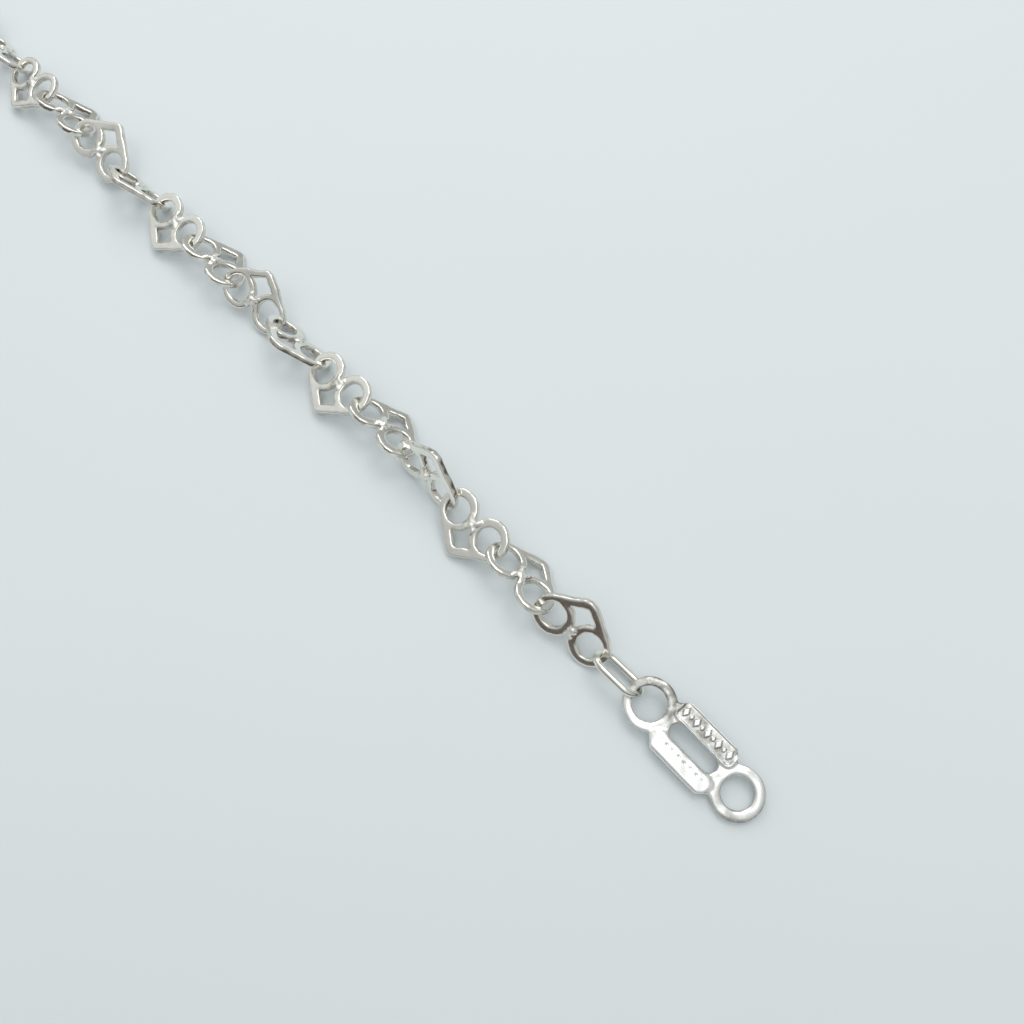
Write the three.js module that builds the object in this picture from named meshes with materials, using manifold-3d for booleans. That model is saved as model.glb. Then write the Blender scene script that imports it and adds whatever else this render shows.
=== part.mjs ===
// Heart-link bracelet lying unclasped on a flat surface. Millimetres, +Z up.
// Every link is a flat plate with bevelled edges, and its rings hook through the next link's rings.
import * as THREE from 'three';
import * as BufferGeometryUtils from 'three/addons/utils/BufferGeometryUtils.js';
import Module from 'manifold-3d';

const wasm = await Module();
wasm.setup();

// ---- heart link -------------------------------------------------------------
const heartCount = 40;
const ringOuter = 1.10;         // outer radius of each of the two rings
const ringHole = 0.75;          // radius of their holes
const ringSpacing = 2.30;       // centre to centre of the two rings
const seamAngle = 0.16;         // radians of each ring taken up by the joint between them
const apexReach = 2.08;         // sharp corner of the V, from the line of centres
const apexRound = 0.30;         // rounding of that corner
const sideWidth = 0.37;         // width of the two straight sides
const plateThickness = 0.35;
const plateBevel = 0.10;
const ringSides = 12;

// ---- end tag ----------------------------------------------------------------
const tagSpacing = 5.62;        // centre to centre of the end rings
const tagRing = 1.32;           // outer radius of the end rings
const tagHole = 0.90;
const tagThickness = 0.38;
const tagBevel = 0.09;
const barHalfLength = 1.92;
const barHalfWidth = 1.48;      // from the tag's middle line to a bar's outer edge
const barCorner = 0.46;         // chamfer at the bars' ends
const barInner = 0.42;          // from the middle line to a bar's inner edge
const barRise = 0.05;           // the bars stand this much above the end rings
const slotHalfLength = 1.42;
const panelDepth = 0.08;        // sunk panel in the top of one bar
const panelRim = 0.20;          // rim left round the panel

// ---- connectors and clasp ------------------------------------------------------
const ovalLength = 3.02;
const ovalWidth = 1.72;
const ovalWire = 0.29;
const ovalThickness = 0.30;
const ovalBevel = 0.08;
const claspLength = 8.60;
const claspWidth = 4.60;
const claspNose = 1.45;         // radius of the loop's narrow end
const claspWall = 0.85;
const claspThickness = 1.36;
const claspBevel = 0.26;
const eyeRing = 1.35;           // outer radius of the clasp's eye
const eyeHole = 0.78;
const eyeThickness = 0.42;
const eyeBevel = 0.12;
const eyeOverlap = 0.35;        // how far the eye runs into the loop

// ---- how it lies: bearings towards the tag, rolls about the strand, degrees ------
const hookGap = 1.36;           // between the centres of two hooked rings
const bendSlack = 0.0024;       // less of it for each degree of bend
const hookPlay = 0.06;          // free play at the connectors
const eyePlay = 0.12;           // more of it at the clasp's eye
const tagLies = { x: 27.35, y: -7.425, bearing: -44, roll: 6, tilt: 3.8 };
const nearLies = { bearing: -42.5, roll: -46, rise: 0.06 };
const strandBearing = -45;
const firstLinks = [
  { roll: 48, swing: 6 },
  { roll: -32, swing: -5 },
  { roll: -152, swing: -1 },
  { roll: 72, swing: -1 },
  { roll: -35, swing: -1 },
  { roll: -160, swing: 0 },
  { roll: 132, swing: 1 },
  { roll: 42, swing: 5 },
  { roll: -32, swing: -2 },
  { roll: -160, swing: -1 },
  { roll: 124, swing: 6 },
  { roll: 28, swing: 0 },
  { roll: -36, swing: -1 },
  { roll: -160, swing: 0 },
];
const laterRolls = [128, 34, -36, -158];
// the way round beyond the straight stretch: degrees of turn at each link
const bends = [
  { upTo: 15, perLink: 0 },
  { upTo: 21, perLink: 24 },
  { upTo: 36, perLink: 0.6 },
  { upTo: heartCount, perLink: 17 },
];

const silver = new THREE.MeshStandardMaterial({
  name: 'silver', color: 0xd8d6d0, metalness: 1, roughness: 0.22,
});

const point = (x, y) => new THREE.Vector2(x, y);
const deg = Math.PI / 180;

// ---- outlines -----------------------------------------------------------------
function arc(cx, cy, r, from, to, steps) {
  return Array.from({ length: steps + 1 }, (_, i) => {
    const t = from + (to - from) * i / steps;
    return point(cx + r * Math.cos(t), cy + r * Math.sin(t));
  });
}

// starts half a side round, so that every ring has an edge across its axis
function circle(cx, cy, r, sides) {
  const start = Math.PI / sides;
  return arc(cx, cy, r, start, start + 2 * Math.PI, sides).slice(0, sides);
}

// Outline wrapped round two circles on the x axis, the left one first.
function wrapped(leftX, leftR, rightX, rightR, steps) {
  const t = Math.acos((leftR - rightR) / (rightX - leftX));
  return [
    ...arc(leftX, 0, leftR, t, 2 * Math.PI - t, steps),
    ...arc(rightX, 0, rightR, -t, t, steps),
  ];
}

const mirrored = outline => outline.map(p => point(-p.x, p.y));

// Moves every corner of a closed outline towards its metal by d.
function inset(outline, d) {
  const n = outline.length;
  return outline.map((p, i) => {
    const before = p.clone().sub(outline[(i + n - 1) % n]).normalize();
    const after = outline[(i + 1) % n].clone().sub(p).normalize();
    const turn = point(-before.y - after.y, before.x + after.x);
    return turn.multiplyScalar(d / (1 + before.dot(after))).add(p);
  });
}

// Plate with a six-sided section: flat faces, and bevels that meet in a ridge half way up.
function bevelPlate(outer, holes, thickness, bevel) {
  const { isClockWise, triangulateShape } = THREE.ShapeUtils;
  const loops = [
    isClockWise(outer) ? outer.reverse() : outer,
    ...holes.map(hole => (isClockWise(hole) ? hole : hole.reverse())),
  ];
  const faces = loops.map(loop => inset(loop, bevel));
  const count = loops.flat().length;
  const positions = [];
  [[faces, -thickness / 2], [loops, 0], [faces, thickness / 2]].forEach(([layer, z]) => {
    layer.flat().forEach(p => positions.push(p.x, p.y, z));
  });
  const index = [];
  let start = 0;
  loops.forEach(loop => {
    loop.forEach((_, i) => {
      const a = start + i;
      const b = start + (i + 1) % loop.length;
      [0, count].forEach(layer => {
        index.push(a + layer, b + layer, b + layer + count);
        index.push(a + layer, b + layer + count, a + layer + count);
      });
    });
    start += loop.length;
  });
  triangulateShape(faces[0], faces.slice(1)).forEach(([a, b, c]) => {
    index.push(a + 2 * count, b + 2 * count, c + 2 * count);
    index.push(a, c, b);
  });
  const geometry = new THREE.BufferGeometry();
  geometry.setAttribute('position', new THREE.Float32BufferAttribute(positions, 3));
  geometry.setIndex(index);
  return geometry;
}

function solidOf(geometry) {
  const merged = BufferGeometryUtils.mergeVertices(geometry, 1e-5);
  return new wasm.Manifold(new wasm.Mesh({
    numProp: 3,
    vertProperties: new Float32Array(merged.attributes.position.array),
    triVerts: new Uint32Array(merged.index.array),
  }));
}

function geometryOf(solid) {
  const mesh = solid.getMesh();
  const geometry = new THREE.BufferGeometry();
  geometry.setAttribute('position', new THREE.BufferAttribute(new Float32Array(mesh.vertProperties), 3));
  geometry.setIndex(new THREE.BufferAttribute(new Uint32Array(mesh.triVerts), 1));
  return geometry;
}

// ---- pieces --------------------------------------------------------------------
const ringX = ringSpacing / 2;
// direction of a ring's radius where the straight side leaves it
const sideLean = Math.atan2(ringX, apexReach) + Math.asin(ringOuter / Math.hypot(ringX, apexReach));
const apexCentre = apexReach - apexRound / Math.sin(sideLean);

// Two rings side by side; the straight sides run tangent from them to the apex.
function heartGeometry() {
  const ring = arc(ringX, 0, ringOuter, -Math.PI + seamAngle, sideLean, 8);
  const apex = arc(0, apexCentre, apexRound, sideLean, Math.PI - sideLean, 2);
  const outer = [...ring, ...apex, ...mirrored(ring).reverse()];
  const sideReach = apexReach * Math.sin(sideLean) - sideWidth;
  const corner = sideLean + Math.acos((sideReach - ringX * Math.cos(sideLean)) / ringOuter);
  const edge = arc(ringX, 0, ringOuter, corner, Math.PI - seamAngle, 3);
  const window = [point(0, sideReach / Math.sin(sideLean)), ...mirrored(edge), ...edge.reverse()];
  const holes = [ringX, -ringX].map(x => circle(x, 0, ringHole, ringSides));
  return bevelPlate(outer, [...holes, window], plateThickness, plateBevel);
}

function ovalGeometry() {
  const loop = trim => {
    const r = ovalWidth / 2 - trim;
    const x = (ovalLength - ovalWidth) / 2;
    return wrapped(-x, r, x, r, 6);
  };
  return bevelPlate(loop(0), [loop(ovalWire)], ovalThickness, ovalBevel);
}

// Two end rings joined by two bars with a slot between; one bar has a sunk panel.
function tagGeometry() {
  const x = tagSpacing / 2;
  const neck = Math.PI - Math.asin((barHalfWidth - barCorner) / tagRing);
  const end = arc(x, 0, tagRing, -neck, neck, 14);
  const slotX = slotHalfLength - barInner;
  const holes = [
    circle(x, 0, tagHole, 16),
    circle(-x, 0, tagHole, 16),
    wrapped(-slotX, barInner, slotX, barInner, 6),
  ];
  const plate = bevelPlate([...end, ...mirrored(end).reverse()], holes, tagThickness, tagBevel);
  const bar = trim => [
    point(-slotX, barInner + trim),
    point(slotX, barInner + trim),
    point(barHalfLength - trim, barHalfWidth - barCorner),
    point(barHalfLength - barCorner - trim / 2, barHalfWidth - trim),
    point(trim / 2 + barCorner - barHalfLength, barHalfWidth - trim),
    point(trim - barHalfLength, barHalfWidth - barCorner),
  ];
  const barSolid = solidOf(bevelPlate(bar(0), [], tagThickness + 2 * barRise, tagBevel));
  const panel = solidOf(bevelPlate(bar(panelRim), [], 2 * panelDepth, panelDepth / 2));
  return geometryOf(solidOf(plate)
    .add(barSolid)
    .add(barSolid.rotate([0, 0, 180]))
    .subtract(panel.translate([0, 0, tagThickness / 2 + barRise])));
}

// Plain one-piece clasp: a long closed loop with an eye at its narrow end.
function claspGeometry() {
  const broad = claspWidth / 2;
  const broadX = eyeRing + broad - claspLength;
  const noseX = eyeOverlap - eyeRing - claspNose;
  const loop = bevelPlate(
    wrapped(broadX, broad, noseX, claspNose, 10),
    [wrapped(broadX, broad - claspWall, noseX, claspNose - claspWall, 8)],
    claspThickness, claspBevel);
  const eye = bevelPlate(circle(0, 0, eyeRing, 16), [circle(0, 0, eyeHole, 14)], eyeThickness, eyeBevel);
  return geometryOf(solidOf(loop).add(solidOf(eye)));
}

// ---- laying the pieces out ---------------------------------------------------------
const group = new THREE.Group();
group.name = 'bracelet';

// A piece's own x runs towards the tag and falls by the tilt; its own y lies at the roll.
function turned({ bearing, roll, tilt = 0 }) {
  const [b, r, t] = [bearing * deg, roll * deg, tilt * deg];
  const along = new THREE.Vector3(Math.cos(b) * Math.cos(t), Math.sin(b) * Math.cos(t), -Math.sin(t));
  const side = new THREE.Vector3(-Math.sin(b), Math.cos(b), 0);
  const up = new THREE.Vector3().crossVectors(along, side);
  const across = side.clone().multiplyScalar(Math.cos(r)).addScaledVector(up, Math.sin(r));
  return new THREE.Matrix4().makeBasis(along, across, new THREE.Vector3().crossVectors(along, across));
}

function place(name, geometry, turn, at, z) {
  const mesh = new THREE.Mesh(geometry, silver);
  mesh.name = name;
  mesh.applyMatrix4(new THREE.Matrix4().makeTranslation(at.x, at.y, z).multiply(turn));
  group.add(mesh);
}

// a point further along the strand, away from the tag
function step(from, bearing, distance) {
  return point(from.x - Math.cos(bearing * deg) * distance, from.y - Math.sin(bearing * deg) * distance);
}

// Lays a piece between two joints, from height nearZ to farZ, and gives the far joint.
function lay(name, geometry, near, { bearing, roll }, span, nearZ, farZ) {
  const run = Math.sqrt(span ** 2 - (farZ - nearZ) ** 2);
  const tilt = Math.asin((farZ - nearZ) / span) / deg;
  place(name, geometry, turned({ bearing, roll, tilt }), step(near, bearing, run / 2), (nearZ + farZ) / 2);
  return step(near, bearing, run);
}

// Height of a heart's middle when it rests alone at this roll, on its rings or on its apex.
function restHeight(roll) {
  const rise = Math.abs(Math.sin(roll * deg));
  const lowEdge = Math.sin(roll * deg) > 0 ? ringOuter : apexCentre + apexRound;
  const face = (lowEdge - plateBevel) * rise + plateThickness / 2 * Math.abs(Math.cos(roll * deg));
  return Math.max(lowEdge * rise, face);
}

const hearts = [];
for (let i = 0, bearing = strandBearing; i < heartCount; i++) {
  const later = laterRolls[(i - firstLinks.length) % laterRolls.length];
  const { roll, swing } = firstLinks[i] ?? { roll: later, swing: 0 };
  bearing += bends.find(bend => i < bend.upTo).perLink;
  hearts.push({ roll, bearing: bearing + swing, rest: restHeight(roll) });
}

// the tag, its inner ring a little raised by the connector under it
const tag = tagGeometry();
const tagTurn = turned(tagLies);
const tagBox = new THREE.Box3().setFromBufferAttribute(tag.clone().applyMatrix4(tagTurn).attributes.position);
const tagZ = -tagBox.min.z;
place('tag', tag, tagTurn, tagLies, tagZ);
const tagJointZ = tagZ + Math.sin(tagLies.tilt * deg) * tagSpacing / 2 + nearLies.rise;

// first connector, from the tag's inner ring to the first heart
const oval = ovalGeometry();
const ovalSpan = ovalLength - ovalWire;
const wireReach = ovalWire / 2 + hookPlay;
let joint = step(tagLies, tagLies.bearing, Math.cos(tagLies.tilt * deg) * tagSpacing / 2);
joint = step(joint, nearLies.bearing, tagHole - wireReach);
joint = lay('connector_near', oval, joint, nearLies, ovalSpan, tagJointZ, hearts[0].rest);
joint = step(joint, nearLies.bearing, ringHole - wireReach);

// hearts: each joint is as high as the taller of its two links needs
const heart = heartGeometry();
const standingZ = ovalWidth / 2 + 0.01;
let jointZ = hearts[0].rest;
hearts.forEach((link, i) => {
  const next = hearts[i + 1] ?? { ...link, rest: standingZ };
  const farZ = Math.max(link.rest, next.rest);
  const name = 'heart_' + String(i + 1).padStart(2, '0');
  joint = lay(name, heart, joint, link, ringSpacing, jointZ, farZ);
  jointZ = farZ;
  if (i < heartCount - 1) {
    const bend = Math.abs(next.bearing - link.bearing);
    joint = step(joint, (link.bearing + next.bearing) / 2, hookGap - bendSlack * bend);
  }
});

// last connector, standing on edge, and the clasp
const lastBearing = hearts[heartCount - 1].bearing;
joint = step(joint, lastBearing, ringHole - wireReach);
joint = lay('connector_far', oval, joint, { bearing: lastBearing, roll: 90 }, ovalSpan, jointZ, standingZ);
joint = step(joint, lastBearing, eyeHole - wireReach - eyePlay);
place('clasp', claspGeometry(), turned({ bearing: lastBearing, roll: 0 }), joint, claspThickness / 2);

export default group;
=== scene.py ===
import bpy
import numpy as np
from mathutils import Matrix
from mathutils.geometry import delaunay_2d_cdt


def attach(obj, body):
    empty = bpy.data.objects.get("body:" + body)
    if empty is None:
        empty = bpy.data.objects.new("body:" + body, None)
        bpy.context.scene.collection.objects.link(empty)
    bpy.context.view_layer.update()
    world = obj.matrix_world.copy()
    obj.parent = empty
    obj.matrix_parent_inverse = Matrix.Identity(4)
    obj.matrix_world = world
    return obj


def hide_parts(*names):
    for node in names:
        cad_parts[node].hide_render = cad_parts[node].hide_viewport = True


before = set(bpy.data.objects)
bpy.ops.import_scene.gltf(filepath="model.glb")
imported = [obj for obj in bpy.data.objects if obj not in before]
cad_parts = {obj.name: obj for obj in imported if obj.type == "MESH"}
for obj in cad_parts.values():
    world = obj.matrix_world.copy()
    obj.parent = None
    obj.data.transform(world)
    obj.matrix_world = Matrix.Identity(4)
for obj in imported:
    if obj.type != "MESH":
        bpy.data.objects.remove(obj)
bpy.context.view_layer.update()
print("frame loaded:", len(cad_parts), "solids")

mm = 0.001          # lengths in the pieces' dictionaries are millimetres
draws = np.random.default_rng(949)


# An outline is an array of (x, y) points. This one is centre + radius * (cos t, sin t), with t
# running evenly from one angle to the other.
def arc(x, y, radius, start, end, steps=48):
    t = np.linspace(start, end, steps + 1)
    return np.column_stack([x + radius * np.cos(t), y + radius * np.sin(t)])


# a whole circle, run clockwise so that the metal outside it lies to its left
def holeLoop(x, y, radius, steps):
    return arc(x, y, radius, 2 * np.pi, 0, steps)[:-1]


# (-x, y), taken backwards so that the metal stays on the same side
def mirrored(points):
    return (points * [-1, 1])[::-1]


# the closed outline cut into equal steps, each point then the mean of its neighbours under a bell
# curve of this width
def softened(points, spacing, width):
    closed = np.vstack([points, points[:1]])
    run = np.append(0, np.cumsum(np.hypot(*np.diff(closed, axis=0).T)))
    count = int(round(run[-1] / spacing))
    at = np.arange(count) * run[-1] / count
    even = np.interp(at, run, closed[:, 0]) + 1j * np.interp(at, run, closed[:, 1])
    waves = np.fft.fftfreq(count, run[-1] / count)
    bell = np.exp(-2 * (np.pi * waves * width) ** 2)
    even = np.fft.ifft(np.fft.fft(even) * bell)
    return np.column_stack([even.real, even.imag])


# unit vectors to the left of the direction of travel
def leftOf(points):
    run = np.roll(points, -1, 0) - np.roll(points, 1, 0)
    run /= np.hypot(*run.T)[:, None]
    return run[:, ::-1] * [-1, 1]


# even-odd rule: a point is in the metal if a line from it to the right crosses the loops an odd
# number of times
def insideLoops(points, loops):
    x, y = points[:, 0, None], points[:, 1, None]
    crossings = np.zeros(len(points), int)
    for loop in loops:
        ax, ay = loop.T
        bx, by = np.roll(loop, -1, 0).T
        with np.errstate(divide="ignore", invalid="ignore"):
            hit = ((ay > y) != (by > y)) & (x < ax + (y - ay) / (by - ay) * (bx - ax))
        crossings += hit.sum(1)
    return crossings % 2 == 1


# staggered grid of points inside the loops: rows lie rowShare of the grain apart, and no point lies
# nearer to the rim than clearShare of the grain
def groundGrid(rim, rimLoops, grain, rowShare=0.87, clearShare=0.55, batch=400):
    low, high = rim.min(0), rim.max(0)
    gx, gy = np.meshgrid(np.arange(low[0], high[0], grain),
                         np.arange(low[1], high[1], grain * rowShare))
    gx = gx + (np.arange(len(gx)) % 2)[:, None] * grain / 2
    ground = np.column_stack([gx.ravel(), gy.ravel()])
    ground = ground[insideLoops(ground, rimLoops)]
    clear = [np.hypot(*(g[:, None] - rim[None]).T).min(0) > grain * clearShare
             for g in np.array_split(ground, max(1, len(ground) // batch))]
    return ground[np.concatenate(clear)]


# Plate between loops whose metal lies to their left. A profile is carried round each loop: at row v
# the point is loop + left * reach * across[v], at height half * up[v]. The flat ground between the
# inner ends of the profiles is filled with triangles, over grid points spaced by grain.
def plateSurface(loops, profile, reach, half, grain, grainBelow=None):
    across, up = profile
    rows = len(across)
    points, quads, rimStarts, start = [], [], [], 0
    for loop in loops:
        left = leftOf(loop)
        depth = np.broadcast_to(reach(loop), len(loop))
        flat = loop[None] + left[None] * (depth[None, :] * across[:, None])[..., None]
        height = up[:, None] * half(flat.reshape(-1, 2)).reshape(rows, -1)
        points.append(np.dstack([flat, height]).reshape(-1, 3))
        n = len(loop)
        i, j = np.meshgrid(np.arange(n), np.arange(rows - 1))
        k = (i + 1) % n
        quad = [i + j * n, k + j * n, k + (j + 1) * n, i + (j + 1) * n]
        quads.append(start + np.stack(quad, -1).reshape(-1, 4))
        rimStarts.append((start, start + (rows - 1) * n, n))
        start += rows * n
    points, quads = np.vstack(points), np.vstack(quads)
    triangles = []
    for below in (True, False):
        rims = [np.arange(n) + (first if below else last) for first, last, n in rimStarts]
        rim = np.concatenate(rims)
        rimLoops = [points[r, :2] for r in rims]
        ground = groundGrid(points[rim, :2], rimLoops, (grainBelow or grain) if below else grain)
        ids = np.concatenate([rim, len(points) + np.arange(len(ground))])
        plan = np.vstack([points[rim, :2], ground])
        level = (-1 if below else 1) * half(ground)
        points = np.vstack([points, np.column_stack([ground, level])])
        edges, at = [], 0
        for r in rims:
            edges += [(at + a, at + (a + 1) % len(r)) for a in range(len(r))]
            at += len(r)
        found = delaunay_2d_cdt([tuple(p) for p in plan], edges, [], 0, 1e-9, True)
        origin = np.array([o[0] for o in found[3]])
        faces = origin[np.array(found[2])]
        faces = faces[insideLoops(plan[faces].mean(1), rimLoops)]
        # a sliver left over along a straight rim shares no side with another face or with the rim
        sides = np.vstack([faces[:, [0, 1]], faces[:, [1, 2]], faces[:, [2, 0]], edges])
        key = np.sort(sides, -1) @ [len(plan), 1]
        same, uses = np.unique(key, return_inverse=True, return_counts=True)[1:]
        faces = faces[(uses[same[:3 * len(faces)]] > 1).reshape(3, -1).any(0)]
        # the sign of (b - a) x (c - a) says which way a face looks: down below, up above
        a, b, c = plan[faces].transpose(1, 0, 2)
        turn = (b[:, 0] - a[:, 0]) * (c[:, 1] - a[:, 1]) - (b[:, 1] - a[:, 1]) * (c[:, 0] - a[:, 0])
        faces[(turn > 0) == below] = faces[(turn > 0) == below][:, ::-1]
        triangles.append(ids[faces])
    return points, quads, np.vstack(triangles)


# Section of a plate's edge, from the lower face round to the upper one. A quarter ellipse, across
# = a * (1 - cos t) and up = 1 - crown - u * (1 - sin t), is followed by a face that still rises by
# crown * (1 - (1 - s)^2) to its middle.
def edgeProfile(edge, crown, steps=4, crownSteps=2):
    t = np.linspace(0, np.pi / 2, steps + 1)
    across = edge["across"] * (1 - np.cos(t))
    up = 1 - crown - edge["up"] * (1 - np.sin(t))
    s = np.linspace(0, 1, crownSteps + 1)[1:]
    across = np.append(across, edge["across"] + (1 - edge["across"]) * s)
    up = np.append(up, 1 - crown + crown * (1 - (1 - s) ** 2))
    return np.append(across[::-1], across), np.append(-up[::-1], up)


# one object from points in metres and groups of faces, with one value per point for each attribute
def meshPiece(name, points, faces, material, values=None):
    mesh = bpy.data.meshes.new(name)
    mesh.from_pydata(points.tolist(), [], [f for group in faces for f in group.tolist()])
    mesh.polygons.foreach_set("use_smooth", np.ones(len(mesh.polygons), bool))
    for key, value in (values or {}).items():
        attribute = mesh.attributes.new(key, "FLOAT", "POINT")
        attribute.data.foreach_set("value", value.astype(np.float32))
    mesh.materials.append(material)
    mesh.update()
    piece = bpy.data.objects.new(name, mesh)
    bpy.context.scene.collection.objects.link(piece)
    return piece


# 3 t^2 - 2 t^3, with t running from 0 at low to 1 at high
def smoothStep(x, low, high):
    t = np.clip((x - low) / (high - low), 0, 1)
    return t * t * (3 - 2 * t)


# distance from the plate's middle over half its thickness: 1 at its faces
def levelOf(z, p):
    return np.abs(z) / (p["thickness"] / 2)


# sin(a x + b y + start), with a and b in radians per millimetre
def ripple(x, y, rates, start=0.0):
    return np.sin(rates[0] * x + rates[1] * y + start)


# A solid is mirror-symmetric, so the mean and the spread of its corners give its middle and two of
# its own axes: the longest runs along the strand, and the next one across it.
def solidAxes(name):
    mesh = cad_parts[name].data
    corners = np.empty(len(mesh.vertices) * 3, np.float32)
    mesh.vertices.foreach_get("co", corners)
    corners = np.unique(corners.reshape(-1, 3), axis=0).astype(float) / mm
    middle = corners.mean(0)
    axes = np.linalg.eigh(np.cov((corners - middle).T))[1].T
    return corners, middle, axes[2], axes[1]


# columns: along, across and out of the plate
def poseOf(middle, along, across):
    return np.column_stack([along, across, np.cross(along, across)]), middle


# local millimetres to world metres
def laid(points, pose):
    turn, middle = pose
    return (points @ turn.T + middle) * mm


# an empty node group with its sockets, and its two end nodes
def newGroup(name, inputs, outputs):
    group = bpy.data.node_groups.new(name, "ShaderNodeTree")
    for label, kind, value in inputs:
        socket = group.interface.new_socket(label, in_out="INPUT", socket_type=kind)
        socket.default_value = value
    for label, kind in outputs:
        group.interface.new_socket(label, in_out="OUTPUT", socket_type=kind)
    return group, group.nodes.new("NodeGroupInput"), group.nodes.new("NodeGroupOutput")


# one node: settings first, then values and links by socket name
def addNode(tree, kind, values=None, links=None, **settings):
    node = tree.nodes.new(kind)
    for key, value in settings.items():
        setattr(node, key, value)
    for key, value in (values or {}).items():
        node.inputs[key].default_value = value
    for key, source in (links or {}).items():
        tree.links.new(source, node.inputs[key])
    return node


# a operation b, where each is a number or another node's output
def mathNode(tree, operation, a, b, clamp=False):
    node = addNode(tree, "ShaderNodeMath", operation=operation, use_clamp=clamp)
    for socket, source in zip(node.inputs, (a, b)):
        if isinstance(source, (int, float)):
            socket.default_value = source
        else:
            tree.links.new(source, socket)
    return node.outputs[0]


# from the first colour to the second by a factor from 0 to 1; a colour is four numbers or an output
def colorMix(tree, factor, first, second):
    node = addNode(tree, "ShaderNodeMix", {}, {"Factor": factor}, data_type="RGBA")
    for socket, source in zip((node.inputs[6], node.inputs[7]), (first, second)):
        if isinstance(source, tuple):
            socket.default_value = source
        else:
            tree.links.new(source, socket)
    return node.outputs[2]


# scales are cells per metre
polish = {
    "wave": {"Scale": 1100, "Detail": 2, "Roughness": 0.45},
    "rub": {"Scale": 3500, "Detail": 2, "Roughness": 0.6},
    "rubAngles": (0.4, 1.5, 2.5), "rubTilt": 0.7, "rubStretch": (1, 14, 1),
    "ding": {"Scale": 1500, "Randomness": 1.0}, "dingRim": 0.35,
    "blotch": {"Scale": 650, "Detail": 4, "Roughness": 0.6},
    "wearOfRubs": 0.2, "wearOfBlotches": 0.4,
}


# Height = waves of the tumbled surface + rubbing marks + dings, each by its own height in metres.
# Wear = rubbing marks and blotches, for the roughness.
def polishGroup(p):
    group, source, result = newGroup("polishMarks", [
        ("Position", "NodeSocketVector", (0, 0, 0)),
        ("Wave Height", "NodeSocketFloat", 0.00001),
        ("Scratch Height", "NodeSocketFloat", 0.000001),
        ("Ding Height", "NodeSocketFloat", 0.000004),
    ], [("Height", "NodeSocketFloat"), ("Wear", "NodeSocketFloat")])
    place = {"Vector": source.outputs["Position"]}
    wave = addNode(group, "ShaderNodeTexNoise", p["wave"], place).outputs["Fac"]
    rubs = []
    for angle in p["rubAngles"]:
        turn = {"Rotation": (angle, angle * p["rubTilt"], angle), "Scale": p["rubStretch"]}
        turned = addNode(group, "ShaderNodeMapping", turn, place).outputs["Vector"]
        rub = addNode(group, "ShaderNodeTexNoise", p["rub"], {"Vector": turned})
        rubs.append(rub.outputs["Fac"])
    scratch = mathNode(group, "ADD", mathNode(group, "ADD", rubs[0], rubs[1]), rubs[2])
    ding = addNode(group, "ShaderNodeTexVoronoi", p["ding"], place, feature="SMOOTH_F1")
    pit = mathNode(group, "SMOOTH_MIN", ding.outputs["Distance"], p["dingRim"])
    height = mathNode(group, "MULTIPLY", wave, source.outputs["Wave Height"])
    for mark, size in ((scratch, "Scratch Height"), (pit, "Ding Height")):
        raised = mathNode(group, "MULTIPLY", mark, source.outputs[size])
        height = mathNode(group, "ADD", height, raised)
    group.links.new(height, result.inputs["Height"])
    blotch = addNode(group, "ShaderNodeTexNoise", p["blotch"], place).outputs["Fac"]
    rubbed = mathNode(group, "MULTIPLY", scratch, p["wearOfRubs"])
    blotched = mathNode(group, "MULTIPLY", blotch, p["wearOfBlotches"])
    group.links.new(mathNode(group, "ADD", rubbed, blotched, True), result.inputs["Wear"])
    return group


# noise that breaks the darker film, tarnish and painted shade alike, into patches
tarnishAndShade = {
    "noise": {"Scale": 1800, "Detail": 4, "Roughness": 0.65},
    "patches": {"From Min": 0.38, "From Max": 0.66, "To Min": 0.25, "To Max": 1.0},
}


# Mask = share * amount * noise: the darker film colour, laid as tarnish and as painted shade on
# walls and in corners; Color goes from silver to film.
def tarnishAndShadeGroup(p):
    group, source, result = newGroup("tarnishAndShadeFilm", [
        ("Position", "NodeSocketVector", (0, 0, 0)),
        ("Film And Shade Share", "NodeSocketFloat", 0.0),
        ("Amount", "NodeSocketFloat", 0.5),
        ("Silver", "NodeSocketColor", (0.9, 0.9, 0.88, 1)),
        ("Film And Shade Color", "NodeSocketColor", (0.3, 0.26, 0.2, 1)),
    ], [("Color", "NodeSocketColor"), ("Mask", "NodeSocketFloat")])
    place = {"Vector": source.outputs["Position"]}
    noise = addNode(group, "ShaderNodeTexNoise", p["noise"], place).outputs["Fac"]
    patches = addNode(group, "ShaderNodeMapRange", p["patches"], {"Value": noise}).outputs["Result"]
    mask = mathNode(group, "MULTIPLY", source.outputs["Film And Shade Share"], patches)
    mask = mathNode(group, "MULTIPLY", mask, source.outputs["Amount"], True)
    color = colorMix(group, mask, source.outputs["Silver"], source.outputs["Film And Shade Color"])
    group.links.new(color, result.inputs["Color"])
    group.links.new(mask, result.inputs["Mask"])
    return group


polishMarks = polishGroup(polish)
tarnishAndShadeFilm = tarnishAndShadeGroup(tarnishAndShade)

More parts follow.
